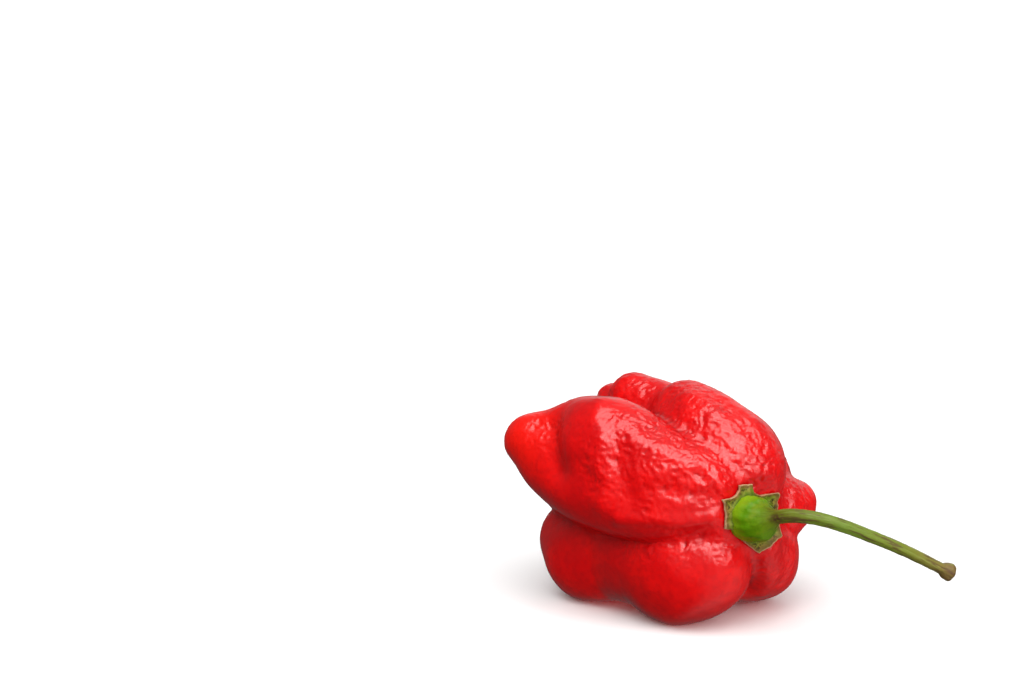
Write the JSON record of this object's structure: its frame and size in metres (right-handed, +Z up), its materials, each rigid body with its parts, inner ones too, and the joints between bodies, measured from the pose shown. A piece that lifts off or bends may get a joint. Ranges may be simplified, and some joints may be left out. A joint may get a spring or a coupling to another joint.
{
  "type": "chilli pepper",
  "caption": "Ripe red chilli pepper, squat and deeply lobed, lying on its side with its green toothed calyx and curved stem.",
  "frame": {"origin": "on the table that the pepper rests on, under the middle of the whole pepper's box", "axes": "+X from the fruit's blunt nose to the far end of the stem, +Z up, and the calyx faces -Y and a little +X"},
  "size_m": [0.0724, 0.047, 0.0383],
  "materials": {
    "fruit_skin": "waxy, glossy, finely wrinkled red pepper skin",
    "calyx": "dry olive-green leafy rim with a thin tan edge",
    "stem": "satin fresh-green stem, brownish streaks, brown bead at its end"
  },
  "bodies": {
    "root": {"fruit": "fruit_skin", "calyx": "calyx", "stem": "stem"}
  },
  "joints": []
}
